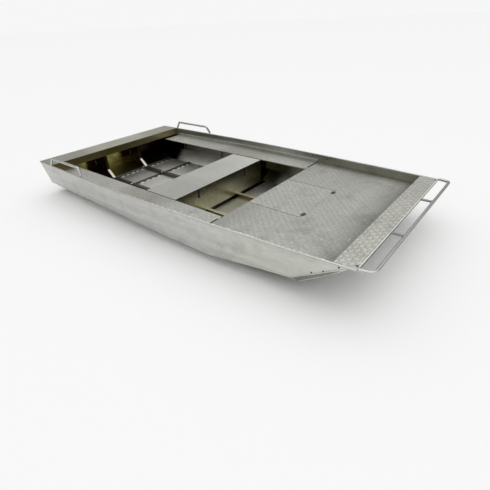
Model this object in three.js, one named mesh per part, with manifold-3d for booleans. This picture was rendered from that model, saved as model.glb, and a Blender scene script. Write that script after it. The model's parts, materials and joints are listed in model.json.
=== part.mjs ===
// Welded aluminium flat-bottomed work boat hull: raked bow, bevelled chines, checker-plate decks,
// two open wells, a flush deck hatch, a bow rail and two stern grab handles.
//
// Hull frame while modelling, in millimetres: x = 0 at the transom and grows towards the bow,
// +y is port, z = 0 is the top of the gunwale. The exported group is shifted so that the origin
// lies at the middle of the bounding box's base.

import * as THREE from "three";
import { mergeVertices } from "three/addons/utils/BufferGeometryUtils.js";
import Module from "manifold-3d";

const wasm = await Module();
wasm.setup();

// ---------------------------------------------------------------- driving dimensions

const HULL_LENGTH = 3660; // transom to the front edge of the bow cap
const HULL_DEPTH = 380; // gunwale top to the underside of the flat bottom
const RAIL_REACH = 3764; // front of the bow rail
const BOTTOM_T = 4; // bottom plating
const SHEET = 3.2; // side, deck and bracket sheet
const CHINE_RISE = 4.6; // chine plating, measured upright
const GAP = 0.5; // clearance between plates that are welded edge to edge

const STERN_FOLD = 265; // where the raised stern strip meets the flat bottom
const BOW_FOLD = 2520; // where the flat bottom starts to rise
const BOW_KNUCKLE = 3235; // where the bow rake starts
const RAKE_TOP = 3607; // front end of the rake plate, under the bow cap
const SIDE_END = 3598; // front end of the side plates
const TRANSOM_DEPTH = 315;
const TRANSOM_FOOT = 786; // half-width of the transom's lower edge
const FLOOR_HALF = 715; // half-width of the flat bottom at the stern fold

const DECK_Z = -86; // top of the decks and the thwart
const WELL_HALF = 639; // half-width of both wells
const DECK_AFT = 295;
const THWART_AFT = 1500;
const THWART_FWD = 1894;
const THWART_STEP = 3; // the thwart lies this much below the decks
const FRONT_DECK_AFT = 2464;
const FRONT_DECK_FWD = 3503; // front end of the deck, just above the rake plate
const BOW_CAP_AFT = 3511;
const STERN_CAP = 258; // fore-and-aft width of the stern cap
const LIP = 22; // turned-down edge of the front deck and the lid
const HEM = 8; // turned-down inner edge of the side decks
const SEAM = 7; // open joint between neighbouring deck panels

const RAIL_SQ = 12; // gunwale trim, square section
const RAIL_OUT = 3; // how far it stands outside the side plate

const HATCH_HALF = 306;
const HATCH_GAP = 5; // open seam along each side of the lid
const FOLD_GAP = 1.6; // seam along the hinge line
const HINGE_X = 2967;
const HINGE_Y = 252;
const HINGE_RISE = 4.5; // hinge axis above the deck
const PIN_R = 2.5;

const STRINGER_Y = 231;
const STRINGER = 38;
const RIB_H = 22;
const RIB_W = 25;
const RIB_AFT_X = 268;
const RIB_MID_X = 643;

const TUBE_BOW_R = 12.5;
const TUBE_GRIP_R = 12.5;

// Half-beam at the gunwale, the side's flare (inward per unit of depth), the depth of the side
// plate's lower edge, the depth of the bottom's underside and the bottom's half-width, each as
// [x, value] along the hull.
const GUNWALE = [[0, 895], [800, 912], [1650, 919], [2560, 892], [2930, 871], [3220, 858], [3660, 822]];
const FLARE = [[0, 0.2], [800, 0.185], [1500, 0.15], [2390, 0.09], [BOW_KNUCKLE, 0.06], [HULL_LENGTH, 0.05]];
const CHINE = [[0, 265], [800, 264], [1500, 272], [1950, 288], [BOW_FOLD, 300],
  [BOW_KNUCKLE, 218], [3400, 127], [BOW_CAP_AFT, 65], [SIDE_END, 21], [HULL_LENGTH, 18.5]];
const KEEL = [[0, TRANSOM_DEPTH], [STERN_FOLD, HULL_DEPTH], [BOW_FOLD, HULL_DEPTH],
  [BOW_KNUCKLE, 306], [RAKE_TOP, 18.5], [HULL_LENGTH, 18.5]];
const FLOOR = [[0, TRANSOM_FOOT], [STERN_FOLD, FLOOR_HALF], [BOW_KNUCKLE, 757], [3400, 798],
  [BOW_CAP_AFT, 815], [RAKE_TOP, 812], [HULL_LENGTH, 812]];
const STATIONS = [0, 140, STERN_FOLD, 430, 615, 800, 1030, 1265, 1500, 1725, 1950, 2170, 2390, BOW_FOLD,
  2660, 2800, 2930, 3065, BOW_KNUCKLE, 3320, 3400, BOW_CAP_AFT, SIDE_END, HULL_LENGTH];

// ---------------------------------------------------------------- hull lines

function linear(table, x) {
  const i = Math.max(1, Math.min(table.length - 1, table.findIndex(([at]) => at >= x)));
  const [[x0, v0], [x1, v1]] = [table[i - 1], table[i]];
  return v0 + ((v1 - v0) * (x - x0)) / (x1 - x0);
}

// Smooth curve through the table's points (cubic Hermite, slopes from the neighbours).
function smooth(table, x) {
  const last = table.length - 1;
  const i = Math.max(1, Math.min(last, table.findIndex(([at]) => at >= x)));
  const slope = (j) => {
    const [xa, va] = table[Math.max(0, j - 1)];
    const [xb, vb] = table[Math.min(last, j + 1)];
    return (vb - va) / (xb - xa);
  };
  const [[x0, v0], [x1, v1]] = [table[i - 1], table[i]];
  const h = x1 - x0;
  const t = (x - x0) / h;
  const rise = t * t * (3 - 2 * t);
  return v0 + (v1 - v0) * rise
    + h * slope(i - 1) * t * (1 - t) * (1 - t) - h * slope(i) * t * t * (1 - t);
}

// The hull's curves are straight between stations, so neighbouring plates share their edges.
function between(x, value) {
  const i = Math.max(1, STATIONS.findIndex((at) => at >= x));
  const [x0, x1] = [STATIONS[i - 1], STATIONS[i]];
  const t = (x - x0) / (x1 - x0);
  return value(x0) * (1 - t) + value(x1) * t;
}

const gunwaleHalf = (x) => between(x, (at) => smooth(GUNWALE, at));
const sideOuter = (x, z) => between(x, (at) => smooth(GUNWALE, at) + linear(FLARE, at) * z);
const sideInner = (x, z) => sideOuter(x, z) - SHEET;
const keelZ = (x) => -linear(KEEL, x);
const sideFoot = (x) => -linear(CHINE, x);
const bottomHalf = (x) => linear(FLOOR, x);

// Half-width that is clear of the side plate, or lower down of the chine plate, at height z.
function insideHalf(x, z) {
  const foot = sideFoot(x) + CHINE_RISE;
  if (z >= foot) return sideInner(x, z) - 2 * GAP;
  const t = (foot - z) / (sideFoot(x) - keelZ(x));
  const outer = sideInner(x, sideFoot(x)) - GAP;
  return outer + t * (bottomHalf(x) - outer) - 2 * GAP;
}

function stationsFrom(x0, x1) {
  return [x0, ...STATIONS.filter((x) => x > x0 + 1 && x < x1 - 1), x1];
}

// ---------------------------------------------------------------- solids

// A closed solid through sections: section(x) lists [y, z] corners, the same number at each x.
function loft(xs, section) {
  let rings = xs.map((x) => section(x).map(([y, z]) => new THREE.Vector3(x, y, z)));
  const flat = rings[0].map((p) => new THREE.Vector2(p.y, p.z));
  if (THREE.ShapeUtils.area(flat) < 0) {
    rings = rings.map((ring) => ring.reverse());
    flat.reverse();
  }
  const n = flat.length;
  const caps = THREE.ShapeUtils.triangulateShape(flat, []);
  const last = (rings.length - 1) * n;
  const index = [];
  for (const [a, b, c] of caps) {
    index.push(a, c, b, last + a, last + b, last + c);
  }
  for (let i = 0; i < rings.length - 1; i += 1) {
    for (let j = 0; j < n; j += 1) {
      const a = i * n + j;
      const b = i * n + ((j + 1) % n);
      index.push(a, b, b + n, a, b + n, a + n);
    }
  }
  const geometry = new THREE.BufferGeometry().setFromPoints(rings.flat());
  geometry.setIndex(index);
  return geometry;
}

// A flat outline of [u, v] corners, pushed through its thickness. The plane names what u and v are.
function plate(plane, outline, from, to, holes = []) {
  const shape = new THREE.Shape(outline.map(([u, v]) => new THREE.Vector2(u, v)));
  shape.holes = holes;
  const geometry = new THREE.ExtrudeGeometry(shape, { depth: to - from, bevelEnabled: false });
  geometry.translate(0, 0, from);
  if (plane === "xz") {
    // u = x, v = z, thickness along y
    geometry.rotateX(Math.PI / 2);
    geometry.scale(1, -1, 1);
    flip(geometry);
  }
  return geometry;
}

// Turns every triangle round, after a mirroring scale.
function flip(geometry) {
  const p = geometry.getAttribute("position");
  const corner = new THREE.Vector3();
  const other = new THREE.Vector3();
  for (let i = 0; i < p.count; i += 3) {
    corner.fromBufferAttribute(p, i + 1);
    other.fromBufferAttribute(p, i + 2);
    p.setXYZ(i + 1, other.x, other.y, other.z);
    p.setXYZ(i + 2, corner.x, corner.y, corner.z);
  }
  return geometry;
}

function box(x0, x1, y0, y1, z0, z1) {
  const geometry = new THREE.BoxGeometry(x1 - x0, y1 - y0, z1 - z0);
  return geometry.translate((x0 + x1) / 2, (y0 + y1) / 2, (z0 + z1) / 2);
}

// A round bar from x0 to x1, or along y, about the given centre line.
function bar(axis, from, to, centre, radius, sides = 16) {
  const geometry = new THREE.CylinderGeometry(radius, radius, to - from, sides);
  const middle = (from + to) / 2;
  if (axis === "x") return geometry.rotateZ(Math.PI / 2).translate(middle, centre[0], centre[1]);
  return geometry.translate(centre[0], middle, centre[1]);
}

function toSolid(geometry) {
  const bare = geometry.clone();
  bare.deleteAttribute("normal");
  bare.deleteAttribute("uv");
  const merged = mergeVertices(bare, 1e-3);
  const mesh = new wasm.Mesh({
    numProp: 3,
    vertProperties: merged.getAttribute("position").array,
    triVerts: new Uint32Array(merged.index.array),
  });
  return new wasm.Manifold(mesh);
}

function toGeometry(solid) {
  const { vertProperties, triVerts } = solid.getMesh();
  const geometry = new THREE.BufferGeometry();
  geometry.setAttribute("position", new THREE.BufferAttribute(vertProperties, 3));
  return geometry.setIndex(new THREE.BufferAttribute(triVerts, 1));
}

function union(...pieces) {
  return toGeometry(pieces.map(toSolid).reduce((a, b) => a.add(b)));
}

function cut(piece, ...tools) {
  return toGeometry(tools.map(toSolid).reduce((a, b) => a.subtract(b), toSolid(piece)));
}

// The mirror image on the other side of the hull's centre plane.
function mirrored(geometry) {
  const copy = geometry.index ? geometry.toNonIndexed() : geometry.clone();
  return flip(copy.scale(1, -1, 1));
}

// A round tube along straight runs joined by bends of the given radii.
function bentTube(corners, radii, tubeRadius, steps) {
  const path = new THREE.CurvePath();
  const points = corners.map((c) => new THREE.Vector3(...c));
  let start = points[0];
  for (let i = 1; i < points.length - 1; i += 1) {
    const back = points[i - 1].clone().sub(points[i]).normalize();
    const on = points[i + 1].clone().sub(points[i]).normalize();
    const reach = radii[i - 1] / Math.tan(back.angleTo(on) / 2);
    const enter = points[i].clone().addScaledVector(back, reach);
    const leave = points[i].clone().addScaledVector(on, reach);
    path.add(new THREE.LineCurve3(start, enter));
    path.add(new THREE.QuadraticBezierCurve3(enter, points[i], leave));
    start = leave;
  }
  path.add(new THREE.LineCurve3(start, points[points.length - 1]));
  const ring = new THREE.Shape().absarc(0, 0, tubeRadius, 0, 2 * Math.PI);
  return new THREE.ExtrudeGeometry(ring, { steps, curveSegments: 6, extrudePath: path });
}

// ---------------------------------------------------------------- materials and nodes

const FINISH = {
  plating: { color: 0xb4b6b0, roughness: 0.5 },
  deck: { color: 0xa6a8a3, roughness: 0.55 },
  inner: { color: 0x8f8d7c, roughness: 0.42 },
  trim: { color: 0xc6c8c4, roughness: 0.38 },
  tube: { color: 0xb9bbb8, roughness: 0.34 },
  strap: { color: 0x35332f, roughness: 0.6 },
  hinge: { color: 0x4c4d4b, roughness: 0.5 },
};

const hull = new THREE.Group();

function add(name, finish, geometry) {
  const material = new THREE.MeshStandardMaterial({ ...FINISH[finish], metalness: 0.9 });
  const mesh = new THREE.Mesh(geometry, material);
  mesh.name = name;
  hull.add(mesh);
}

function addPair(name, finish, port) {
  add(`${name}_port`, finish, port);
  add(`${name}_starboard`, finish, mirrored(port));
}

// ---------------------------------------------------------------- shell plating

function bottomStrip(x0, x1, thickness) {
  return loft(stationsFrom(x0, x1), (x) => {
    const half = bottomHalf(x) - GAP / 2;
    const z = keelZ(x);
    return [[-half, z], [half, z], [half, z + thickness], [-half, z + thickness]];
  });
}

function sidePlate() {
  return loft(stationsFrom(0, SIDE_END), (x) => {
    const heights = [-RAIL_SQ - GAP, Math.max(DECK_Z, sideFoot(x) + 1), sideFoot(x)];
    const inner = heights.map((z) => [sideInner(x, z), z]);
    const outer = heights.map((z) => [sideOuter(x, z), z]);
    return [...inner, ...outer.reverse()];
  });
}

// The sloping strip between the side plate's foot and the bottom. It narrows to nothing at the bow.
function chinePlate() {
  return loft(stationsFrom(SHEET + GAP, SIDE_END - 2), (x) => {
    const outer = sideInner(x, sideFoot(x)) - GAP;
    const inner = bottomHalf(x) + GAP / 2;
    return [
      [outer, sideFoot(x)], [outer, sideFoot(x) + CHINE_RISE],
      [inner, keelZ(x) + CHINE_RISE], [inner, keelZ(x)],
    ];
  });
}

function transomPlate() {
  const top = gunwaleHalf(0) - RAIL_SQ;
  const chine = sideInner(0, sideFoot(0)) - GAP;
  return loft([0, SHEET], () => [
    [-top, -SHEET - GAP], [-chine, sideFoot(0)], [-TRANSOM_FOOT, keelZ(0)],
    [TRANSOM_FOOT, keelZ(0)], [chine, sideFoot(0)], [top, -SHEET - GAP],
  ]);
}

// Square trim along the top of the side plate, with its outer corners taken off.
function gunwaleTrim() {
  const chamfer = 3;
  return loft(stationsFrom(0, HULL_LENGTH - 4), (x) => {
    const out = gunwaleHalf(x) + RAIL_OUT;
    const inn = out - RAIL_SQ;
    return [
      [inn, -RAIL_SQ], [inn, -chamfer], [inn + chamfer, 0],
      [out - chamfer, 0], [out, -chamfer], [out, -RAIL_SQ],
    ];
  });
}

// ---------------------------------------------------------------- caps

const capHalf = (x) => gunwaleHalf(x) + RAIL_OUT - RAIL_SQ - GAP;

// A cross plate between the sides through the given heights, from x0 to x1.
function crossPlate(x0, x1, heights) {
  return loft([x0, x1], (x) => {
    const edge = heights.map((z) => [Math.min(insideHalf(x, z), capHalf(x)), z]);
    return [...edge, ...edge.map(([y, z]) => [-y, z]).reverse()];
  });
}

function capTop(x0, x1) {
  return loft(stationsFrom(x0, x1), (x) => [
    [-capHalf(x), -SHEET], [capHalf(x), -SHEET], [capHalf(x), 0], [-capHalf(x), 0],
  ]);
}

function sternCap() {
  const flangeDepth = 76;
  return union(capTop(0, STERN_CAP), crossPlate(STERN_CAP - SHEET, STERN_CAP, [-flangeDepth, -SHEET / 2]));
}

function bowCap() {
  const lipDepth = 13;
  const holeX = 3640;
  const holeY = 786;
  const holeR = 9;
  const riserFoot = keelZ(BOW_CAP_AFT) + 9;
  const riserKnee = sideFoot(BOW_CAP_AFT) + 9;
  const riser = crossPlate(BOW_CAP_AFT, BOW_CAP_AFT + SHEET, [riserFoot, riserKnee, -SHEET / 2]);
  const lip = crossPlate(HULL_LENGTH - SHEET, HULL_LENGTH, [-lipDepth, -SHEET / 2]);
  const drill = (y) => new THREE.CylinderGeometry(holeR, holeR, 20, 16).rotateX(Math.PI / 2).translate(holeX, y, 0);
  return cut(union(capTop(BOW_CAP_AFT, HULL_LENGTH), riser, lip), drill(holeY), drill(-holeY));
}

// ---------------------------------------------------------------- decks and thwart

function sideDeck() {
  const upstand = 25;
  return loft(stationsFrom(DECK_AFT, FRONT_DECK_AFT - SEAM), (x) => {
    const under = DECK_Z - SHEET;
    const wall = sideInner(x, under) - 2 * GAP;
    const wallTop = sideInner(x, DECK_Z + upstand) - 2 * GAP;
    return [
      [WELL_HALF, DECK_Z - HEM], [WELL_HALF + SHEET, DECK_Z - HEM], [WELL_HALF + SHEET, under],
      [wall, under], [wallTop, DECK_Z + upstand], [wallTop - SHEET, DECK_Z + upstand],
      [wall - SHEET, DECK_Z], [WELL_HALF, DECK_Z],
    ];
  });
}

function frontDeck() {
  const under = DECK_Z - SHEET;
  const shoulder = 3460;
  const xs = [...stationsFrom(FRONT_DECK_AFT, shoulder), FRONT_DECK_FWD];
  const edge = xs.map((x) => [x, insideHalf(x, under)]);
  const notch = HATCH_HALF + HATCH_GAP / 2;
  const front = HINGE_X + FOLD_GAP / 2;
  const outline = [
    ...edge,
    ...edge.map(([x, y]) => [x, -y]).reverse(),
    [FRONT_DECK_AFT, -notch], [front, -notch], [front, notch], [FRONT_DECK_AFT, notch],
  ];
  const lipEnd = edge[0][1] - LIP;
  const lip = box(FRONT_DECK_AFT, FRONT_DECK_AFT + SHEET, notch, lipEnd, DECK_Z - LIP, under + 1);
  return union(plate("xy", outline, under, DECK_Z), lip, mirrored(lip));
}

function thwartTop() {
  const half = WELL_HALF - SEAM;
  const flange = 50;
  const top = DECK_Z - THWART_STEP;
  return union(
    box(THWART_AFT, THWART_FWD, -half, half, top - SHEET, top),
    box(THWART_AFT, THWART_AFT + SHEET, -half, half, top - flange, top - 1),
  );
}

function thwartBulkhead() {
  const half = WELL_HALF - SEAM;
  const stringerTop = keelZ(THWART_FWD) + BOTTOM_T + STRINGER;
  const foot = 18;
  const top = DECK_Z - THWART_STEP - SHEET - GAP;
  return union(
    box(THWART_FWD - SHEET, THWART_FWD, -half, half, stringerTop + GAP, top),
    box(THWART_FWD - foot, THWART_FWD - 1, -half, half, stringerTop + GAP, stringerTop + GAP + SHEET),
  );
}

// ---------------------------------------------------------------- hatch

function hatchLid() {
  const half = HATCH_HALF - HATCH_GAP / 2;
  const under = DECK_Z - SHEET;
  return union(
    box(FRONT_DECK_AFT, HINGE_X - FOLD_GAP / 2, -half, half, under, DECK_Z),
    box(FRONT_DECK_AFT, FRONT_DECK_AFT + SHEET, -half, half, DECK_Z - LIP, under + 1),
  );
}

// U-shaped ledge welded under the deck round three sides of the hatch opening.
function hatchLedge() {
  const inner = HATCH_HALF - 18;
  const outer = HATCH_HALF + 22;
  const aft = FRONT_DECK_AFT + SHEET + 2;
  const outline = [
    [aft, -outer], [HINGE_X + 26, -outer], [HINGE_X + 26, outer], [aft, outer],
    [aft, inner], [HINGE_X - 22, inner], [HINGE_X - 22, -inner], [aft, -inner],
  ];
  const top = DECK_Z - SHEET - GAP;
  return plate("xy", outline, top - SHEET, top);
}

const HINGE_W = 42;
const KNUCKLE_R = 4.4;
const hingeZ = DECK_Z + HINGE_RISE;

// One hinge leaf: a flat tab on the deck or the lid, with its share of the knuckles.
function hingeLeaf(side, y, knuckles) {
  const leafT = 2.6;
  const low = DECK_Z + GAP;
  const near = HINGE_X + side * 1.5;
  const far = HINGE_X + side * 17;
  const [x0, x1] = [Math.min(near, far), Math.max(near, far)];
  const leaf = box(x0, x1, y - HINGE_W / 2, y + HINGE_W / 2, low, low + leafT);
  const others = knuckles.free.map(([a, b]) =>
    box(HINGE_X - 6, HINGE_X + 6, y + a - 0.4, y + b + 0.4, low - 1, hingeZ + 6));
  const rolls = knuckles.own.map(([a, b]) => bar("y", y + a, y + b, [HINGE_X, hingeZ], KNUCKLE_R));
  const bore = bar("y", y - HINGE_W, y + HINGE_W, [HINGE_X, hingeZ], PIN_R + 0.08);
  return cut(union(cut(leaf, ...others), ...rolls), bore);
}

function addHinge(suffix, y) {
  const middle = [[-7, 7]];
  const ends = [[-HINGE_W / 2, -7.5], [7.5, HINGE_W / 2]];
  add(`hatch_hinge_deck_leaf_${suffix}`, "hinge", hingeLeaf(1, y, { own: ends, free: middle }));
  add(`hatch_hinge_lid_leaf_${suffix}`, "hinge", hingeLeaf(-1, y, { own: middle, free: ends }));
  const reach = HINGE_W / 2 + 1.5;
  add(`hatch_hinge_pin_${suffix}`, "hinge", bar("y", y - reach, y + reach, [HINGE_X, hingeZ], PIN_R));
}

// ---------------------------------------------------------------- floor and stern framing

// Inverted channel welded to the floor.
function stringer(x0, x1) {
  const left = STRINGER_Y - STRINGER / 2;
  const right = STRINGER_Y + STRINGER / 2;
  const low = -HULL_DEPTH + BOTTOM_T + GAP;
  const high = low + STRINGER - GAP;
  return loft([x0, x1], () => [
    [left, low], [left + SHEET, low], [left + SHEET, high - SHEET], [right - SHEET, high - SHEET],
    [right - SHEET, low], [right, low], [right, high], [left, high],
  ]);
}

// Angle bar across the floor.
function floorRib(x) {
  const half = Math.min(bottomHalf(x), bottomHalf(x + RIB_W)) - 4;
  const low = -HULL_DEPTH + BOTTOM_T + GAP;
  const outline = [
    [x, low], [x + RIB_W, low], [x + RIB_W, low + SHEET], [x + SHEET, low + SHEET],
    [x + SHEET, low + RIB_H], [x, low + RIB_H],
  ];
  return plate("xz", outline, -half, half);
}

// Gusset from the stern cap down the transom to the floor, with a flange along its front edge.
function sternKnee() {
  const webY = 256;
  const front = 233;
  const bend = -255;
  const toe = 322;
  const toeTop = -336;
  const top = -SHEET - GAP;
  const inside = SHEET + GAP;
  const ribTop = -HULL_DEPTH + BOTTOM_T + RIB_H + 2 * GAP;
  const sternTop = (x) => keelZ(x) + BOTTOM_T + 2 * GAP;
  const web = [
    [inside, top], [front, top], [front, bend], [toe, toeTop], [toe, ribTop],
    [RIB_AFT_X - 5, ribTop], [RIB_AFT_X - 5, sternTop(RIB_AFT_X - 5)], [inside, sternTop(inside)],
  ];
  const flange = [
    [front - SHEET, top], [front, top], [front, bend], [toe, toeTop],
    [toe - SHEET, toeTop - SHEET], [front - SHEET, bend - SHEET / 2],
  ];
  const flangeW = 32;
  return union(plate("xz", web, webY, webY + SHEET), plate("xz", flange, webY + SHEET - flangeW, webY + 1));
}

// Upright fin that stiffens the side plate below the deck.
function sideFrame(x) {
  const width = 14;
  const thick = 5;
  const top = DECK_Z - SHEET - 2;
  const foot = sideFoot(x) + 8;
  const edge = (z) => Math.min(sideInner(x, z), sideInner(x + thick, z)) - 2 * GAP;
  return loft([x, x + thick], () => [
    [edge(foot) - width, foot], [edge(foot), foot], [edge(top), top], [edge(top) - width, top],
  ]);
}

// ---------------------------------------------------------------- small fittings

// Hanging strap with a turned-out toe, as an outline in a plane across its width.
function strapOutline(face, top, drop, toe) {
  const t = 3;
  return [
    [face, top], [face, top - drop], [face + toe, top - drop],
    [face + toe, top - drop + t], [face + Math.sign(toe) * t, top - drop + t], [face + Math.sign(toe) * t, top],
  ];
}

function bulkheadStrap(y) {
  const width = 14;
  return plate("xz", strapOutline(THWART_FWD + GAP, -99, 76, 14), y - width / 2, y + width / 2);
}

function deckStrap(x) {
  const width = 14;
  const outline = strapOutline(WELL_HALF - GAP, DECK_Z - 8, 80, -14);
  return loft([x - width / 2, x + width / 2], () => outline);
}

// Low rod loop on the floor beside the chine, for lashing gear down.
function floorEye() {
  const low = -HULL_DEPTH + BOTTOM_T + 2 * GAP;
  const rise = low + 30;
  const y = 656;
  return bentTube([[800, y, low], [806, y, rise], [852, y, rise], [858, y, low]], [10, 10], 4, 24);
}

// ---------------------------------------------------------------- tubes

function grabHandle() {
  const foot = 8;
  const height = 83;
  const lean = 10;
  const foothold = (x) => gunwaleHalf(x) - 3;
  const bar = foothold(600) - lean;
  const corners = [[276, foothold(276), foot], [326, bar, height], [836, bar, height], [878, foothold(878), foot]];
  return bentTube(corners, [18, 34], TUBE_GRIP_R, 44);
}

const bowRailX = RAIL_REACH - TUBE_BOW_R;
const bowRailZ = 0;
const RAIL_POSTS = [329, -299];

function bowRail() {
  const back = HULL_LENGTH + 3;
  const footY = 818;
  const bendY = 800;
  const corners = [
    [back, -footY, bowRailZ], [bowRailX, -bendY, bowRailZ],
    [bowRailX, bendY, bowRailZ], [back, footY, bowRailZ],
  ];
  return bentTube(corners, [50, 50], TUBE_BOW_R, 90);
}

// Short strut from the bow cap's front edge, coped where it meets the rail.
function railPost(y) {
  const post = bar("x", HULL_LENGTH + GAP, bowRailX, [y, bowRailZ - 2], 9.5);
  const clearance = bar("y", y - 30, y + 30, [bowRailX, bowRailZ], TUBE_BOW_R + 0.4, 48);
  return cut(post, clearance);
}

// ---------------------------------------------------------------- assembly

add("bottom_plate", "plating", bottomStrip(STERN_FOLD + GAP, BOW_KNUCKLE - GAP, BOTTOM_T));
add("stern_rake_plate", "plating", bottomStrip(SHEET + GAP, STERN_FOLD, BOTTOM_T));
add("bow_rake_plate", "plating", bottomStrip(BOW_KNUCKLE, RAKE_TOP, 4.6));
addPair("side_plate", "plating", sidePlate());
addPair("chine_plate", "plating", chinePlate());
add("transom_plate", "plating", transomPlate());
addPair("gunwale_trim", "trim", gunwaleTrim());
add("stern_cap", "plating", sternCap());
add("bow_cap", "deck", bowCap());

addPair("side_deck", "deck", sideDeck());
add("front_deck", "deck", frontDeck());
add("thwart_top", "deck", thwartTop());
add("thwart_bulkhead", "inner", thwartBulkhead());

add("hatch_lid", "deck", hatchLid());
add("hatch_ledge", "inner", hatchLedge());
addHinge("port", HINGE_Y);
addHinge("starboard", -HINGE_Y);

addPair("floor_stringer_aft", "inner", stringer(336, RIB_MID_X - 2));
addPair("floor_stringer_main", "inner", stringer(RIB_MID_X + RIB_W + 2, BOW_FOLD - 5));
add("floor_rib_aft", "inner", floorRib(RIB_AFT_X));
add("floor_rib_mid", "inner", floorRib(RIB_MID_X));
addPair("stern_knee", "inner", sternKnee());
addPair("side_frame_aft", "inner", sideFrame(420));
addPair("side_frame_mid", "inner", sideFrame(1092));
addPair("floor_eye", "trim", floorEye());

addPair("bulkhead_strap", "strap", bulkheadStrap(340));
addPair("deck_strap", "strap", deckStrap(2192));
addPair("grab_handle", "tube", grabHandle());
add("bow_rail", "tube", bowRail());
add("rail_post_port", "tube", railPost(RAIL_POSTS[0]));
add("rail_post_starboard", "tube", railPost(RAIL_POSTS[1]));

hull.position.set(-RAIL_REACH / 2, 0, HULL_DEPTH);
const boat = new THREE.Group();
boat.add(hull);

export default boat;
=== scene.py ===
import json
import math
import random
import bpy
from mathutils import Matrix, Vector
from mathutils.bvhtree import BVHTree


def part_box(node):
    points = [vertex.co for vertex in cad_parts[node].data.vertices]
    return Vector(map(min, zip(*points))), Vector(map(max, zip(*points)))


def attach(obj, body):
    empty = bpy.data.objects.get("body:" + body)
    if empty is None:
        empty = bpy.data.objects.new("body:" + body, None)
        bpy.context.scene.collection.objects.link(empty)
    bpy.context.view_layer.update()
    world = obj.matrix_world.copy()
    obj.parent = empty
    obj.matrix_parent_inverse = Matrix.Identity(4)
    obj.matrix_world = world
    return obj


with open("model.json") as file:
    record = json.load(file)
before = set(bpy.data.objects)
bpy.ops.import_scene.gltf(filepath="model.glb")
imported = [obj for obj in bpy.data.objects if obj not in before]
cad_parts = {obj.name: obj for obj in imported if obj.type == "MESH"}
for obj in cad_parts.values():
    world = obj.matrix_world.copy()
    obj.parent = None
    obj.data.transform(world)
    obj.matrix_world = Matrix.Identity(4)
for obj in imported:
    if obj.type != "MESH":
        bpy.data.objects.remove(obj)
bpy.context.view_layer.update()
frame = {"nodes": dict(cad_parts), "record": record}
random.seed(7)

# Places on the hull are in millimetres: x forward from the transom, y to port of the centre line and
# z up from the gunwale. The sizes of the pieces made here are in metres.
CENTRE_X = 1882           # the frame's origin
DEPTH = 380               # the gunwale above the frame's zero height
DECK = -86                # top of the decks
FLOOR_TOP = -374          # top of the ribs' flat legs
RIB_AFT_X, RIB_MID_X = 268, 643
RIB_W = 25
STRINGER_Y = 231
THWART_AFT = (1480, 1520)  # where the shade below the thwart sets in
BULKHEAD_X = 1893
DECK_JOINT_X = 2448       # the side decks end and the front deck begins
BOW_KNUCKLE = 3235
CAP_EDGE = (3656, 790)    # the bow cap's front edge and its half width
CAP_HOLE = (3640, 786)
KNEE_WEB_FACES = (-261, 254, -254, 261)
KNEE_WELD_FOOT, KNEE_WELD_HEAD = -232, -176
RIB_STITCHES = (-680.0, 650)
RIB_STITCH_RUN, RIB_STITCH_STEP = (26, 46), (70, 92)
TRIM_STITCHES = (300.0, 3480)
TRIM_STITCH_RUN, TRIM_SPARSE_AFT_OF = (8, 26), 1500
TRIM_STEP_SPARSE, TRIM_STEP_CLOSE = (30, 150), (30, 75)
RIVET_PLACES = ((3456, -88), (3378, -126), (3550, -23), (600, -246))  # x, z
SIDES = (("port", 1), ("starboard", -1))

CAMERA_AT = (4252, -2503.2, 1229.7)
YAW, PITCH, ROLL = math.radians(-40.115), math.radians(31.624), math.radians(-2.77)
LENS, SENSOR = 26.8, 36
BACKDROP = 0.925          # what the camera sees behind the floor
FLOOR_HALF = 300
FLOOR_GREY = 0.96

# Tones, as linear RGB.
SHEET = (0.57, 0.565, 0.545)
PLATE = (0.57, 0.565, 0.535)
DECK_PLATE = (0.55, 0.545, 0.515)
CAP_PLATE = (0.66, 0.655, 0.61)
FLOOR_SHEET = (0.62, 0.615, 0.575)
STRINGER = (0.13, 0.125, 0.11)
DULL = (0.24, 0.235, 0.21)
OLIVE = (0.74, 0.69, 0.24)
DULL_OLIVE = (0.15, 0.145, 0.07)
BROWN = (0.085, 0.045, 0.026)
BLACK = (0.012, 0.010, 0.006)
# Painted shade for open joints.
JOINT_SHADE = (0.02, 0.019, 0.016)
SPECK = (0.9, 0.91, 0.9)
SHEET_ROUGH = 0.42

# How closely a material's streaks are packed along x, y and z. They run along the axis of the low number.
FORE_AFT = (1.5, 14, 14)
ATHWART = (14, 1.5, 14)
UP_DOWN = (14, 14, 1.5)
FLOOR_GRAIN = (1.5, 10, 10)
RIB_GRAIN = (10, 1.5, 10)
TRIM_GRAIN = (2, 20, 20)
TREAD_GRAIN = (6, 6, 6)
TUBE_GRAIN = (8, 8, 8)
SMALL_GRAIN = (20, 20, 20)
WELD_GRAIN = (30, 30, 30)

# The make-up of every metal: the scale of each noise, the swing of tone or roughness that it gives,
# and the pale specks.
CLOUD_SCALE, CLOUD_ROUGHNESS = 2.6, 0.1
STREAK_SCALE, STREAK_RELIEF = 9, 0.6
FINE_SCALE, FINE_TONE = 160, 0.13
BAND_SCALE, BAND_STRETCH = 3.0, (0.35, 1, 7)
DIRT_SCALE, DIRT_FROM, DIRT_FULL = 5.5, 0.50, 0.74
DIRT_TONE, DIRT_ROUGHNESS = 0.45, 0.3
SPECK_SCALE, SPECK_RADIUS, SPECK_ROUGHNESS = 17.0, 0.07, 0.4
RELIEF_STRENGTH, RELIEF_DEPTH = 0.15, 0.002

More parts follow.
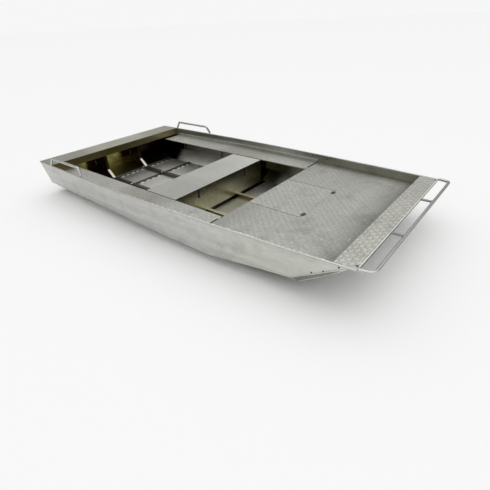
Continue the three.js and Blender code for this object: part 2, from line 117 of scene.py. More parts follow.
TREAD_PITCH = 0.0305
LOZENGE_LENGTH, LOZENGE_WIDTH, LOZENGE_HEIGHT = 0.026, 0.0075, 0.0014
LOZENGE_SINK = 0.0003
TREAD_MARGIN = 0.004      # between a lozenge's tip and the plate's edge
TREAD_SIDE_REACH = 0.006
# The painted shade round each tread lozenge: its size and how it fades.
LOZENGE_SHADE_LENGTH, LOZENGE_SHADE_WIDTH = 0.80, 0.40  # of the patch round a lozenge, in tread pitches along both axes
LOZENGE_SHADE_FADE = (0.5, 1.5)   # the patch fades between these shares of its size, squared
TOP_ABOVE, TOP_WITHIN = 0.05, 0.0005  # where the search for a flat top starts, and how flat it must be

BEAD_SIDES = 6
BEAD_CREST, BEAD_TROUGH, BEAD_JITTER = 0.16, -0.12, 0.08
BEAD_END = 0.45           # radius at either end, against the bead's own
LONG_RIPPLE = 0.012       # ripple spacing of the long seams
RIVET_SIDES = 10
RIVET_PROFILE = ((1.0, -0.001), (1.0, 0.0008), (0.6, 0.0025))  # share of the radius, height


def at(x, y, z):
    return Vector(((x - CENTRE_X) / 1000, y / 1000, (z + DEPTH) / 1000))


# ------------------------------------------------------------------ shader nodes


def feed(tree, made, inputs):
    """Links the sockets among a node's inputs and sets the plain values."""
    for key, value in inputs.items():
        if isinstance(value, bpy.types.NodeSocket):
            tree.links.new(value, made.inputs[key])
        else:
            made.inputs[key].default_value = value


def node(tree, kind, inputs=None, **props):
    made = tree.nodes.new(kind)
    for key, value in props.items():
        setattr(made, key, value)
    feed(tree, made, inputs or {})
    return made


def ramp(tree, factor, stops):
    made = node(tree, "ShaderNodeValToRGB", {"Fac": factor})
    band = made.color_ramp
    while len(band.elements) < len(stops):
        band.elements.new(0.5)
    for element, (place, colour) in zip(band.elements, stops):
        element.position = place
        element.color = (*colour, 1)
    return made.outputs["Color"]


def maths(tree, operation, a, b=0.0, clamp=False, add=0.0):
    made = node(tree, "ShaderNodeMath", {0: a, 1: b, 2: add}, operation=operation, use_clamp=clamp)
    return made.outputs[0]


def sway(tree, value, depth, base=1.0):
    """Adds to base the swing of a noise about its middle, up to depth either way."""
    return maths(tree, "MULTIPLY_ADD", maths(tree, "SUBTRACT", value, 0.5), 2 * depth, add=base)


def scaled(tree, colour, by):
    return node(tree, "ShaderNodeVectorMath", {0: colour, "Scale": by}, operation="SCALE").outputs[0]


def blend(tree, factor, a, b):
    return node(tree, "ShaderNodeMix", {0: factor, 6: a, 7: b}, data_type="RGBA").outputs[2]


def lerp(tree, factor, a, b):
    return node(tree, "ShaderNodeMix", {0: factor, 2: a, 3: b}, data_type="FLOAT").outputs[0]


def smooth_range(tree, value, low, high, at_low, at_high):
    made = node(tree, "ShaderNodeMapRange", {
        "Value": value, "From Min": low, "From Max": high, "To Min": at_low, "To Max": at_high,
    }, interpolation_type="SMOOTHSTEP")
    return made.outputs[0]


def noise(tree, coord, scale, detail, stretch=(1, 1, 1), rough=0.55):
    moved = node(tree, "ShaderNodeMapping", {"Vector": coord, "Scale": stretch})
    made = node(tree, "ShaderNodeTexNoise", {
        "Vector": moved.outputs[0], "Scale": scale, "Detail": detail, "Roughness": rough,
    })
    return made.outputs["Fac"]


def coordinate(tree, output, axis):
    """One axis of a texture coordinate."""
    coord = node(tree, "ShaderNodeTexCoord").outputs[output]
    return node(tree, "ShaderNodeSeparateXYZ", {"Vector": coord}).outputs[axis]


# ------------------------------------------------------------------ camera, light and floor


def set_camera():
    forward = Vector((math.sin(YAW) * math.cos(PITCH), math.cos(YAW) * math.cos(PITCH), -math.sin(PITCH)))
    right = Vector((math.cos(YAW), -math.sin(YAW), 0))
    up = right.cross(forward)
    side = right * math.cos(ROLL) + up * math.sin(ROLL)
    top = up * math.cos(ROLL) - right * math.sin(ROLL)
    cam = bpy.data.objects.new("camera", bpy.data.cameras.new("camera"))
    cam.data.lens = LENS
    cam.data.sensor_width = SENSOR
    rot = Matrix((side, top, -forward)).transposed()
    cam.matrix_world = Matrix.Translation(at(*CAMERA_AT)) @ rot.to_4x4()
    bpy.context.scene.collection.objects.link(cam)
    bpy.context.scene.camera = cam


def set_world():
    """Soft studio light, bright overhead and fading to a dark olive band at the horizon. The camera
    itself sees plain pale grey."""
    world = bpy.data.worlds.new("studio")
    bpy.context.scene.world = world
    world.use_nodes = True
    tree = world.node_tree
    tree.nodes.clear()
    sky = ramp(tree, coordinate(tree, "Generated", "Z"), [
        (0.0, (0.07, 0.07, 0.05)), (0.10, (0.08, 0.08, 0.06)), (0.24, (0.34, 0.34, 0.31)),
        (0.42, (0.58, 0.585, 0.57)), (0.65, (0.95, 0.96, 0.96)), (1.0, (1.5, 1.5, 1.5)),
    ])
    lit = node(tree, "ShaderNodeBackground", {"Color": sky, "Strength": 1.0})
    seen = node(tree, "ShaderNodeBackground", {"Color": (BACKDROP, BACKDROP, BACKDROP, 1), "Strength": 1.0})
    path = node(tree, "ShaderNodeLightPath")
    mix = node(tree, "ShaderNodeMixShader", {
        0: path.outputs["Is Camera Ray"], 1: lit.outputs[0], 2: seen.outputs[0],
    })
    node(tree, "ShaderNodeOutputWorld", {"Surface": mix.outputs[0]})
    bpy.context.scene.view_settings.view_transform = "Standard"


def floor():
    half = FLOOR_HALF
    mesh = bpy.data.meshes.new("floor")
    mesh.from_pydata([(-half, -half, 0), (half, -half, 0), (half, half, 0), (-half, half, 0)], [],
                     [(0, 1, 2, 3)])
    obj = bpy.data.objects.new("floor", mesh)
    mat = bpy.data.materials.new("floor")
    mat.use_nodes = True
    feed(mat.node_tree, mat.node_tree.nodes["Principled BSDF"],
         {"Base Color": (FLOOR_GREY, FLOOR_GREY, FLOOR_GREY, 1), "Roughness": 0.9})
    mesh.materials.append(mat)
    bpy.context.scene.collection.objects.link(obj)
    obj.location.z = -0.001


# ------------------------------------------------------------------ materials


def metal(name, colour, rough, stretch=FORE_AFT, cloud=0.12, grain=0.14, grime=0.3, specks=0.0,
          metallic=1.0, zones=(), halo=0.0, bands=0.0):
    """Mill-finish aluminium: soft cloudy tone, streaks along the rolling direction, patches of dull grime
    and a scatter of pale specks. A zone is (mask, tone, roughness) and tints the sheet by place; some zones
    hold painted shade and painted reflection. The lozenge shade is painted shade beside the tread lozenges."""
    mat = bpy.data.materials.new(name)
    mat.use_nodes = True
    tree = mat.node_tree
    coord = node(tree, "ShaderNodeTexCoord").outputs["Object"]
    clouds = noise(tree, coord, CLOUD_SCALE, 4)
    streaks = noise(tree, coord, STREAK_SCALE, 5, stretch)
    fine = noise(tree, coord, FINE_SCALE, 3, stretch)
    patches = noise(tree, coord, DIRT_SCALE, 8, rough=0.62)
    plain = node(tree, "ShaderNodeRGB")
    plain.outputs[0].default_value = (*colour, 1)
    tint, roughness = plain.outputs[0], rough
    for mask_of, zone_colour, zone_rough in zones:
        mask = mask_of(tree)
        tint = blend(tree, mask, tint, (*zone_colour, 1))
        roughness = lerp(tree, mask, roughness, zone_rough)

    tone = sway(tree, clouds, cloud)
    tone = sway(tree, streaks, grain, tone)
    tone = sway(tree, fine, FINE_TONE, tone)
    if bands:
        tone = sway(tree, noise(tree, coord, BAND_SCALE, 3, BAND_STRETCH), bands, tone)
    base = scaled(tree, tint, tone)
    # Painted shade beside each tread lozenge.
    if halo:
        base = scaled(tree, base, tread_shade(tree, halo))

    dirt = ramp(tree, patches, [(DIRT_FROM, (0, 0, 0)), (DIRT_FULL, (1, 1, 1))])
    dirt = maths(tree, "MULTIPLY", dirt, grime, True)
    base = blend(tree, dirt, base, scaled(tree, base, DIRT_TONE))
    roughness = sway(tree, clouds, CLOUD_ROUGHNESS, roughness)
    roughness = maths(tree, "MULTIPLY_ADD", dirt, DIRT_ROUGHNESS, True, add=roughness)

    metalness = metallic
    if specks:
        cells = node(tree, "ShaderNodeTexVoronoi", {"Vector": coord, "Scale": SPECK_SCALE})
        dot = maths(tree, "LESS_THAN", cells.outputs["Distance"], SPECK_RADIUS)
        pick = node(tree, "ShaderNodeSeparateColor", {"Color": cells.outputs["Color"]}).outputs[0]
        dot = maths(tree, "MULTIPLY", dot, maths(tree, "LESS_THAN", pick, specks))
        base = blend(tree, dot, base, (*SPECK, 1))
        metalness = maths(tree, "SUBTRACT", metallic, dot, True)
        roughness = maths(tree, "ADD", roughness, maths(tree, "MULTIPLY", dot, SPECK_ROUGHNESS), True)

    relief = node(tree, "ShaderNodeBump", {
        "Height": maths(tree, "ADD", fine, maths(tree, "MULTIPLY", streaks, STREAK_RELIEF)),
        "Strength": RELIEF_STRENGTH, "Distance": RELIEF_DEPTH,
    })
    feed(tree, tree.nodes["Principled BSDF"], {
        "Base Color": base, "Roughness": roughness, "Metallic": metalness, "Normal": relief.outputs[0],
    })
    return mat


def tread_shade(tree, depth):
    """Painted shade beside each raised lozenge of the tread plate: 1 on open plate, 1 - depth beside one."""
    cell, offset = [], []
    for axis in "XY":
        value = maths(tree, "DIVIDE", coordinate(tree, "Object", axis), TREAD_PITCH)
        cell.append(maths(tree, "ROUND", value))
        offset.append(maths(tree, "SUBTRACT", value, cell[-1]))
    odd = maths(tree, "PINGPONG", maths(tree, "ADD", *cell), 1.0)
    rising = maths(tree, "ADD", *offset)
    falling = maths(tree, "SUBTRACT", *offset)
    lengthwise = maths(tree, "DIVIDE", lerp(tree, odd, falling, rising), LOZENGE_SHADE_LENGTH)
    sideways = maths(tree, "DIVIDE", lerp(tree, odd, rising, falling), LOZENGE_SHADE_WIDTH)
    reach = maths(tree, "ADD", maths(tree, "MULTIPLY", lengthwise, lengthwise),
                  maths(tree, "MULTIPLY", sideways, sideways))
    return smooth_range(tree, reach, *LOZENGE_SHADE_FADE, 1.0 - depth, 1.0)


# Zone masks. A mask is a maker: it builds, in a material's tree, a value from 0 to 1.


def facing(axis, sign=1):
    """1 on faces whose own normal points along an axis, 0 elsewhere."""
    def make(tree):
        value = maths(tree, "MULTIPLY", coordinate(tree, "Normal", axis), sign)
        return maths(tree, "GREATER_THAN", value, 0.5)
    return make


def upright(tree):
    """1 on faces that stand on edge, 0 on those that lie flat."""
    return maths(tree, "LESS_THAN", maths(tree, "ABSOLUTE", coordinate(tree, "Normal", "Z")), 0.5)


def across(axis, start, end, full=1.0):
    """Goes smoothly from 0 at start to full at end along an axis, both in hull millimetres."""
    shift = {"X": CENTRE_X, "Y": 0, "Z": -DEPTH}[axis]
    low, high = (min(start, end) - shift) / 1000, (max(start, end) - shift) / 1000
    at_low, at_high = (0.0, full) if start < end else (full, 0.0)

    def make(tree):
        return smooth_range(tree, coordinate(tree, "Object", axis), low, high, at_low, at_high)
    return make


def both(*makers):
    """The product of two or more masks."""
    def make(tree):
        value = makers[0](tree)
        for maker in makers[1:]:
            value = maths(tree, "MULTIPLY", value, maker(tree))
        return value
    return make


# Zones that several nodes share.


def seam(*makers):
    """The edge of a deck panel, painted dark as shade where it faces an open joint."""
    return both(*makers, across("Z", DECK + 0.5, DECK - 0.8)), JOINT_SHADE, 0.5


def shade_under_thwart(*makers, fwd=BULKHEAD_X, soft=1):
    """The stretch closed in below the thwart, as far forward as fwd."""
    return both(across("X", *THWART_AFT), across("X", fwd + soft, fwd - soft), *makers), BLACK, 0.4


def closed_in_shade(aft, fwd, *makers):
    """Painted shade: a dull olive stretch from one station to the other."""
    return both(across("X", aft - 60, aft), across("X", fwd + 160, fwd), *makers), DULL_OLIVE, 0.35


# ------------------------------------------------------------------ dressing the CAD nodes


def set_material(node_name, mat):
    materials = frame["nodes"][node_name].data.materials
    materials.clear()
    materials.append(mat)


def dress(node_name, material_name, colour, rough, **look):
    set_material(node_name, metal(material_name, colour, rough, **look))


def deck_zones(name):
    if name == "front_deck":
        return [
            (both(across("X", 2720, 2480), across("Y", -150, -420)), (0.43, 0.425, 0.40), 0.45),
            # Painted shade on the front deck beside the raised bow cap, darkest against it.
            (across("X", 3230, 3440), (0.42, 0.415, 0.385), 0.45),
            (across("X", 3380, 3480), (0.29, 0.285, 0.265), 0.45),
            # Painted shade beside the side walls.
            (across("Y", 770, 850, 0.7), DULL, 0.5),
            (across("Y", -790, -850, 0.7), DULL, 0.5),
            seam(facing("X")), seam(facing("X", -1)),
        ]
    if name.startswith("side_deck"):
        side = 1 if "port" in name else -1
        end = across("X", DECK_JOINT_X - 1, DECK_JOINT_X + 1)
        beside_thwart = both(across("X", 1485, 1500), across("X", 1900, 1885))
        return [
            (both(across("X", 1150, 1400), across("X", 2050, 1700)), (0.44, 0.43, 0.39), 0.45),
            # Painted shade beside the side wall.
            (both(across("Y", 810 * side, 885 * side, 0.75), facing("Z")), (0.26, 0.255, 0.23), 0.5),
            # Painted shade in the joint with the front deck.
            (both(end, across("Y", 665 * side, 700 * side), facing("Z")), JOINT_SHADE, 0.5),
            seam(facing("X")), seam(facing("Y", -side), beside_thwart),
        ]
    if name == "bow_cap":
        return [(facing("X"), (0.10, 0.10, 0.09), 0.5)]
    return [seam(facing("Y")), seam(facing("Y", -1))]


def dress_decks(tread_of):
    """Tread plate for the decks, the lid and the bow cap. Each has its tone, the painted shade beside the
    lozenges and the painted highlight that makes the lozenges' tops lighter."""
    plates = {
        "side_deck_port": (PLATE, 0.1, 1.05),
        "side_deck_starboard": (PLATE, 0.1, 1.05),
        "front_deck": (DECK_PLATE, 0.09, 1.05),
        "hatch_lid": (PLATE, 0.09, 1.05),
        "bow_cap": (CAP_PLATE, 0.3, 1.2),
    }
    for name, (base, halo, highlight_lift) in plates.items():
        zones = deck_zones(name)
        dress(name, name + "_plate", base, SHEET_ROUGH, stretch=TREAD_GRAIN, grain=0.36, grime=0.55,
              specks=0.25, zones=zones, halo=halo)
        # Painted highlight: the lozenges' tops are made lighter.
        highlighted = [(mask, tuple(c * highlight_lift for c in colour), rough) for mask, colour, rough in zones]
        tread_of[name] = metal(name + "_tread", tuple(c * highlight_lift for c in base), 0.34, TREAD_GRAIN, grain=0.3,
                               grime=0.45, zones=highlighted)


def dress_bottom():
    front = both(across("X", BULKHEAD_X - 0.5, BULKHEAD_X + 0.5), facing("Z"))
    for name in ("bottom_plate", "bow_rake_plate"):
        dress(name, name + "_sheet", SHEET, SHEET_ROUGH, stretch=FLOOR_GRAIN, grime=0.35, specks=0.15, zones=[
            (facing("Z"), FLOOR_SHEET, 0.5),
            (front, (0.48, 0.47, 0.41), 0.45),
            (both(front, across("Y", 0, 450)), (0.60, 0.59, 0.54), 0.45),
            shade_under_thwart(facing("Z")),
        ])
    dress("stern_rake_plate", "stern_rake_sheet", SHEET, SHEET_ROUGH, zones=[
        # Painted reflection and painted shade on the upper face: olive, near black towards port.
        (facing("Z"), (0.42, 0.38, 0.20), 0.3),
        (both(facing("Z"), across("Y", 180, 420)), (0.08, 0.07, 0.04), 0.3),
    ])


def dress_side(side, sign):
    """A side's plating: pale outside; inside, painted shade where each stretch is closed in and painted
    reflection on the walls above the decks.
    """
    inner, outer = facing("Y", -sign), facing("Y", sign)
    below, above = across("Z", DECK - 2, DECK - 9), across("Z", DECK - 9, DECK - 2)
    side_zones = [
        (both(outer, across("X", 2300, 2900)), (0.595, 0.60, 0.55), SHEET_ROUGH),
        (both(outer, across("Z", -190, -300, 0.6)), (0.50, 0.495, 0.475), 0.45),
        (inner, (0.46, 0.455, 0.42), 0.4),
        (both(inner, above), (0.42, 0.42, 0.385), 0.3),
        # Painted reflection on the inner wall above the deck: lighter beside the rear well, darker towards
        # the bow.
        (both(inner, above, across("X", 1000, 1400)), (0.60, 0.60, 0.555), 0.32),
        (both(inner, above, across("X", 1900, 2600)), (0.34, 0.335, 0.285), 0.28),
        # Painted shade: black in the corner closed in under the stern cap.
        (both(inner, below, across("X", 480, 395)), BLACK, 0.2),
        closed_in_shade(1790, 2050, inner, below),
        shade_under_thwart(inner, below, fwd=1790, soft=12),
    ]
    dress("side_plate_" + side, "side_sheet_" + side, SHEET, SHEET_ROUGH, grain=0.2, specks=0.1, bands=0.22,
          zones=side_zones)
    chine_zones = [
        (facing("Z"), FLOOR_SHEET, 0.5),
        # Painted shade: black under the stern cap.
        (both(facing("Z"), across("X", 450, 330)), BLACK, 0.3),
        closed_in_shade(1850, 1960, facing("Z")),
        shade_under_thwart(facing("Z"), fwd=1840, soft=14),
        # Painted shade on the chine forward of the knuckle, where it faces down.
        (across("X", BOW_KNUCKLE - 10, BOW_KNUCKLE + 10), (0.33, 0.33, 0.29), SHEET_ROUGH),
    ]
    dress("chine_plate_" + side, "chine_sheet_" + side, SHEET, SHEET_ROUGH, stretch=FLOOR_GRAIN, grime=0.35,
          specks=0.15, zones=chine_zones)
    # Painted shade: the knee is dark above its pale toe, and its side faces are brown.
    dress("stern_knee_" + side, "knee_" + side, (0.62, 0.61, 0.54), 0.35, zones=[
        (across("Z", -262, -240), (0.035, 0.03, 0.02), 0.35),
        (facing("Y"), BROWN, 0.35), (facing("Y", -1), BROWN, 0.35),
    ])


def dress_stern():
    """The transom's inner face and the stern cap, toned by what they mirror in the photo."""
    dress("transom_plate", "transom_sheet", SHEET, SHEET_ROUGH, stretch=ATHWART, zones=[
        # Painted reflection and painted shade on the inner face: olive, black from the port knee outward,
        # darker towards starboard, brown patches beside the knees.
        (facing("X"), OLIVE, 0.2),
        (both(facing("X"), across("Y", 235, 275)), BLACK, 0.15),
        (both(facing("X"), across("Y", -400, -520)), (0.30, 0.275, 0.13), 0.25),
        (both(facing("X"), across("Y", 80, 140), across("Z", -275, -225)), BROWN, 0.2),
        (both(facing("X"), across("Y", -410, -370), across("Y", -255, -262)), BROWN, 0.2),
    ])
    dress("stern_cap", "stern_cap_sheet", (0.41, 0.405, 0.36), SHEET_ROUGH, stretch=ATHWART, zones=[
        (across("Y", -500, -250), (0.57, 0.56, 0.49), SHEET_ROUGH),
        (across("Y", 250, 650), (0.46, 0.45, 0.39), SHEET_ROUGH),
        # Painted shade on the forward face under the cap, with a painted olive reflection in its middle.
        (facing("X"), (0.20, 0.17, 0.07), 0.35),
        (both(facing("X"), across("Y", -100, 500)), (0.38, 0.345, 0.19), 0.35),
    ])


def dress_inside():
    """The thwart, the bulkhead and the floor framing, and the posts of the bow rail."""
    dress("thwart_top", "thwart_sheet", (0.52, 0.515, 0.49), SHEET_ROUGH, stretch=ATHWART, specks=0.1, zones=[
        (across("Y", -450, 0), (0.63, 0.625, 0.595), SHEET_ROUGH),
        (across("Y", 0, 450), (0.68, 0.675, 0.645), SHEET_ROUGH),
        (upright, (0.28, 0.275, 0.23), 0.45),
        # Painted shade in the joints at the thwart's ends.
        (across("Y", -622, -630), JOINT_SHADE, 0.5),
        (facing("Y"), JOINT_SHADE, 0.5),
    ])
    bulkhead_zones = [
        # Painted shade: darker towards the top and, dark olive, towards port.
        (across("Z", -205, -100, 0.8), (0.15, 0.14, 0.07), 0.25),
        (across("Y", 120, 600, 0.9), (0.16, 0.14, 0.035), 0.25),
    ]
    dress("thwart_bulkhead", "bulkhead_sheet", (0.68, 0.66, 0.49), 0.26, stretch=ATHWART, grain=0.22,
          specks=0.2, zones=bulkhead_zones)
    forward = across("X", BULKHEAD_X - 1, BULKHEAD_X + 1)
    for side, _ in SIDES:
        dress("floor_stringer_aft_" + side, "stringer_aft_" + side, STRINGER, 0.4)
        dress("floor_stringer_main_" + side, "stringer_" + side, STRINGER, 0.4, zones=[
            (forward, (0.25, 0.22, 0.10), 0.4),
            (both(facing("Z"), forward), (0.66, 0.63, 0.50), 0.4),
            shade_under_thwart(),
        ])
        dress("rail_post_" + side, "post_" + side, (0.30, 0.30, 0.285), 0.4, stretch=TUBE_GRAIN)
    for rib in ("floor_rib_aft", "floor_rib_mid"):
        dress(rib, rib + "_metal", DULL, 0.38, stretch=RIB_GRAIN)
    # Painted shade: the ledge under the lid's joints is dark, lighter to port.
    dress("hatch_ledge", "hatch_ledge_metal", JOINT_SHADE, 0.5, zones=[
        (across("Y", 100, 200), (0.40, 0.395, 0.36), 0.5),
    ])


def dress_nodes():
    """A material for each CAD node. Returns the shared ones, with those of the weld beads, the rivets and
    each deck's tread."""
    materials = {
        "inner_framing": metal("inner_aluminium", (0.40, 0.38, 0.27), 0.26, UP_DOWN, grime=0.4, specks=0.12),
        "trim": metal("trim_aluminium", (0.50, 0.495, 0.475), 0.4, TRIM_GRAIN, grime=0.35, specks=0.3, zones=[
            # Painted highlight along the top of the trim's middle stretch.
            (both(facing("Z"), across("X", 900, 2300)), (0.70, 0.70, 0.675), 0.35),
        ]),
        "tube": metal("tube_aluminium", (0.56, 0.56, 0.54), 0.26, TUBE_GRAIN),
        "strap": metal("strap_dark", (0.02, 0.018, 0.015), 0.5, metallic=0.3),
        "hinge": metal("hinge_steel", (0.13, 0.13, 0.125), 0.5, SMALL_GRAIN, metallic=0.7),
        "weld": metal("weld_bead", (0.72, 0.72, 0.69), 0.34, WELD_GRAIN, cloud=0.25, grain=0.5, grime=0.8),
        "stitch": metal("weld_stitch", (0.92, 0.92, 0.88), 0.5, WELD_GRAIN, grain=0.3, metallic=0.35),
        "rivet": metal("rivet_dark", (0.05, 0.05, 0.045), 0.5, SMALL_GRAIN, metallic=0.6),
    }
    # Plating and checker plate are toned node by node instead.
    for part in frame["record"]["subparts"]:
        if part["material_slot"] in materials:
            set_material(part["node"], materials[part["material_slot"]])
    dress_bottom()
    for side, sign in SIDES:
        dress_side(side, sign)
    dress_stern()
    dress_inside()
    dress_decks(materials)
    return materials


# ------------------------------------------------------------------ pieces added to the CAD


def blank():
    return {"verts": [], "faces": []}


def piece(name, out, mat, body):
    mesh = bpy.data.meshes.new(name)
    mesh.from_pydata([tuple(v) for v in out["verts"]], [], out["faces"])
    mesh.validate()
    mesh.polygons.foreach_set("use_smooth", [True] * len(mesh.polygons))
    mesh.materials.append(mat)
    obj = bpy.data.objects.new(name, mesh)
    bpy.context.scene.collection.objects.link(obj)
    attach(obj, body)


def surface(node_name):
    mesh = frame["nodes"][node_name].data
    return BVHTree.FromPolygons([v.co for v in mesh.vertices], [tuple(p.vertices) for p in mesh.polygons])


def sections(node_name):
    """A node's points, grouped by station from aft to forward."""
    found = {}
    for v in frame["nodes"][node_name].data.vertices:
        found.setdefault(round(v.co.x, 3), []).append(v.co)
    return [found[x] for x in sorted(found)]


def lower_edge(node_name):
    """The outer lower edge of a plate, from aft to forward."""
    edge = []
    for points in sections(node_name):
        low = min(p.z for p in points)
        edge.append(max((p for p in points if p.z < low + 0.002), key=lambda p: abs(p.y)).copy())
    return edge


def upper_edge(node_name, outward):
    """The upper edge of a plate, from aft to forward, on its outer (1) or its inner (-1) side."""
    def height_then_side(p):
        return round(p.z, 4), outward * abs(p.y)

    return [max(points, key=height_then_side).copy() for points in sections(node_name)]


def on_line(line, x):
    """The point at x on a polyline that runs forward."""
    for a, b in zip(line, line[1:]):
        if a.x <= x <= b.x and b.x > a.x:
            return a.lerp(b, (x - a.x) / (b.x - a.x))
    return line[-1].copy()


# ------------------------------------------------------------------ tread plate lozenges


def lozenge(out, centre, angle):
    c, s = math.cos(angle), math.sin(angle)

    def put(u, v, w):
        out["verts"].append((centre.x + u * c - v * s, centre.y + u * s + v * c, centre.z + w))

    first = len(out["verts"])
    half, wide = LOZENGE_LENGTH / 2, LOZENGE_WIDTH / 2
    for u, v in ((1, 0), (0.5, 0.75), (0, 1), (-0.5, 0.75), (-1, 0), (-0.5, -0.75), (0, -1), (0.5, -0.75)):
        put(half * u, wide * v, -LOZENGE_SINK)
    for u, rise in ((0.5, 0.85), (0, 1), (-0.5, 0.85)):
        put(half * u, 0, LOZENGE_HEIGHT * rise)
    f, fore, crown, aft = first, first + 8, first + 9, first + 10
    out["faces"] += [
        (f, f + 1, fore), (f + 1, f + 2, crown, fore), (f + 2, f + 3, aft, crown), (f + 3, f + 4, aft),
        (f + 4, f + 5, aft), (f + 5, f + 6, crown, aft), (f + 6, f + 7, fore, crown), (f + 7, f, fore),
        tuple(range(f + 7, f - 1, -1)),
    ]


def tread(node_name, top, mat, body):
    """A field of crossed lozenges wherever they fit on the node's flat top."""
    tree = surface(node_name)
    low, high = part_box(node_name)
    out = blank()
    for i in range(int(low[0] / TREAD_PITCH) - 1, int(high[0] / TREAD_PITCH) + 2):
        for j in range(int(low[1] / TREAD_PITCH) - 1, int(high[1] / TREAD_PITCH) + 2):
            angle = math.pi / 4 if (i + j) % 2 else -math.pi / 4
            middle = Vector((i * TREAD_PITCH, j * TREAD_PITCH, top))
            tip = Vector((math.cos(angle), math.sin(angle), 0)) * (LOZENGE_LENGTH / 2 + TREAD_MARGIN)
            flank = Vector((-math.sin(angle), math.cos(angle), 0)) * TREAD_SIDE_REACH
            spots = (middle, middle + tip, middle - tip, middle + flank, middle - flank)
            if all(on_top(tree, p, top) for p in spots):
                lozenge(out, middle, angle)
    piece("tread_" + node_name, out, mat, body)


def on_top(tree, p, top):
    hit = tree.ray_cast(Vector((p.x, p.y, top + TOP_ABOVE)), Vector((0, 0, -1)))[0]
    return hit is not None and abs(hit.z - top) < TOP_WITHIN


# ------------------------------------------------------------------ weld beads and rivets


def bead(out, points, radius, ripple=0.006, up=Vector((0, 0, 1))):
    """A rippled weld bead along a polyline, closed at both ends."""
    path = []
    for a, b in zip(points, points[1:]):
        steps = max(1, int((b - a).length / ripple))
        path += [a.lerp(b, k / steps) for k in range(steps)]
    path.append(points[-1])
    first = len(out["verts"])
    end = len(path) - 1
    for k, p in enumerate(path):
        tangent = (path[min(k + 1, end)] - path[max(k - 1, 0)]).normalized()
        u = tangent.cross(up)
        u = u.normalized() if u.length > 1e-6 else Vector((1, 0, 0))
        v = u.cross(tangent).normalized()
        jitter = random.uniform(-BEAD_JITTER, BEAD_JITTER)
        swell = radius * (1.0 + (BEAD_CREST if k % 2 else BEAD_TROUGH) + jitter)
        swell *= BEAD_END if k in (0, end) else 1
        for n in range(BEAD_SIDES):
            turn = 2 * math.pi * n / BEAD_SIDES
            out["verts"].append(p + (u * math.cos(turn) + v * math.sin(turn)) * swell)
    tube(out, first, BEAD_SIDES, end)


def rivet(out, centre, normal, radius=0.0065):
    u = normal.orthogonal().normalized()
    v = normal.cross(u)
    first = len(out["verts"])
    for scale, rise in RIVET_PROFILE:
        for n in range(RIVET_SIDES):
            turn = 2 * math.pi * n / RIVET_SIDES
            spoke = (u * math.cos(turn) + v * math.sin(turn)) * radius * scale
            out["verts"].append(centre + spoke + normal * rise)
    tube(out, first, RIVET_SIDES, len(RIVET_PROFILE) - 1)


def tube(out, first, sides, spans):
    """Closes rings of points into a tube, with a face at either end."""
    for k in range(spans):
        for n in range(sides):
            a = first + k * sides + n
            b = first + k * sides + (n + 1) % sides
            out["faces"].append((a, b, b + sides, a + sides))
    last = first + spans * sides
    out["faces"].append(tuple(first + n for n in range(sides))[::-1])
    out["faces"].append(tuple(last + n for n in range(sides)))


def shell_welds(mat):
    """The long seams between side and chine, and the ones that close the chine at the bow."""
    for side, _ in SIDES:
        foot = lower_edge("side_plate_" + side)
        low = [p for p in lower_edge("chine_plate_" + side) if p.x > at(BOW_KNUCKLE - 5, 0, 0).x]
        corner = min(foot, key=lambda p: abs(p.x - low[0].x))
        split = foot.index(corner)
        out = blank()
        bead(out, foot[1:split + 1], 0.003, LONG_RIPPLE)
        bead(out, foot[split:], 0.0042, LONG_RIPPLE)
        bead(out, low, 0.0036, LONG_RIPPLE)
        bead(out, [corner, low[0]], 0.004)
        piece("weld_chine_" + side, out, mat, "hull")


def floor_welds(mat):
    """Short stitches along both ribs, and a blob where a rib meets a stringer."""
    ripple, blob_half, blob_z = 0.007, 14, -350
    out = blank()
    for x in (RIB_AFT_X, RIB_MID_X):
        for edge in (x - 2, x + RIB_W + 2):
            y, last = RIB_STITCHES
            while y < last:
                run = random.uniform(*RIB_STITCH_RUN)
                bead(out, [at(edge, y, FLOOR_TOP), at(edge, y + run, FLOOR_TOP)], 0.0055, ripple)
                y += random.uniform(*RIB_STITCH_STEP)
        for y in (-STRINGER_Y, STRINGER_Y):
            bead(out, [at(x + 4, y - blob_half, blob_z), at(x + 4, y + blob_half, blob_z)], 0.007, ripple)
    piece("weld_floor", out, mat, "hull")


def knee_welds(mat):
    """The short runs that tie each knee's web to the transom, one on each face."""
    out = blank()
    for y in KNEE_WEB_FACES:
        bead(out, [at(5.5, y, KNEE_WELD_FOOT), at(5.5, y, KNEE_WELD_HEAD)], 0.0032, 0.005, Vector((0, 1, 0)))
    piece("weld_knees", out, mat, "hull")


def cap_edge_highlight(mat):
    """A painted highlight: a bright bead along the front edge of the bow cap."""
    x, half = CAP_EDGE
    out = blank()
    bead(out, [at(x, -half, 0.5), at(x, half, 0.5)], 0.0036, LONG_RIPPLE)
    piece("highlight_bow_cap", out, mat, "hull")


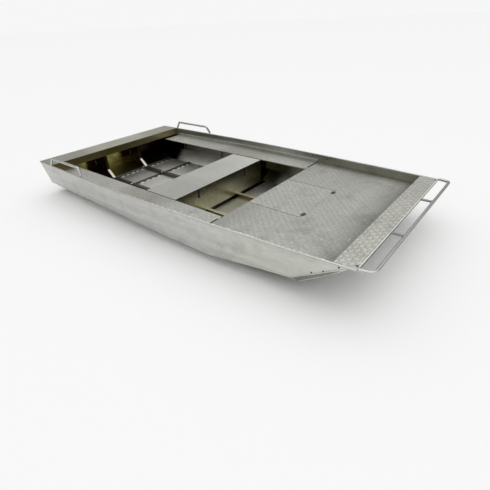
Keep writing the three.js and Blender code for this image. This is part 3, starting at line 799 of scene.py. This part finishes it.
def cap_plugs(mat):
    """A dark plug in each of the bow cap's two holes."""
    x, off_centre = CAP_HOLE
    out = blank()
    for y in (-off_centre, off_centre):
        rivet(out, at(x, y, -0.5), Vector((0, 0, 1)), 0.0088)
    piece("plugs_bow_cap", out, mat, "hull")


def deck_welds(mat):
    """The seam along the top of each side deck's upturned flange, and the short one at its front corner."""
    for side, sign in SIDES:
        out = blank()
        joint = DECK_JOINT_X + 9
        bead(out, [at(joint, 645 * sign, DECK + 0.5), at(joint, 690 * sign, DECK + 0.5)], 0.003)
        bead(out, upper_edge("side_deck_" + side, 1), 0.002, LONG_RIPPLE)
        piece("weld_deck_" + side, out, mat, "hull")


def shell_rivets(mat):
    """A few dark rivets through each side plate, towards the bow and at the stern."""
    for side, sign in SIDES:
        tree = surface("side_plate_" + side)
        out = blank()
        for x, z in RIVET_PLACES:
            outside = at(x, 1400 * sign, z)
            hit, normal, _, _ = tree.ray_cast(outside, Vector((0, -sign, 0)))
            if hit is not None:
                rivet(out, hit, normal)
        piece("rivets_" + side, out, mat, "hull")


def trim_stitches(mat):
    """Short bright stitches where the gunwale trim is welded to the side, closer together forward."""
    for side, _ in SIDES:
        ridge = upper_edge("gunwale_trim_" + side, -1)
        out = blank()
        x, last = TRIM_STITCHES
        while x < last:
            run = random.uniform(*TRIM_STITCH_RUN)
            bead(out, [on_line(ridge, at(x, 0, 0).x), on_line(ridge, at(x + run, 0, 0).x)], 0.0024)
            x += random.uniform(*(TRIM_STEP_SPARSE if x < TRIM_SPARSE_AFT_OF else TRIM_STEP_CLOSE))
        piece("weld_trim_" + side, out, mat, "hull")


set_camera()
set_world()
floor()
looks = dress_nodes()
for deck in ("side_deck_port", "side_deck_starboard", "front_deck", "hatch_lid"):
    tread(deck, at(0, 0, DECK).z, looks[deck], "hatch" if deck == "hatch_lid" else "hull")
tread("bow_cap", at(0, 0, 0).z, looks["bow_cap"], "hull")
shell_welds(looks["weld"])
floor_welds(looks["stitch"])
knee_welds(looks["weld"])
cap_edge_highlight(looks["stitch"])
cap_plugs(looks["rivet"])
deck_welds(looks["weld"])
shell_rivets(looks["rivet"])
trim_stitches(looks["stitch"])
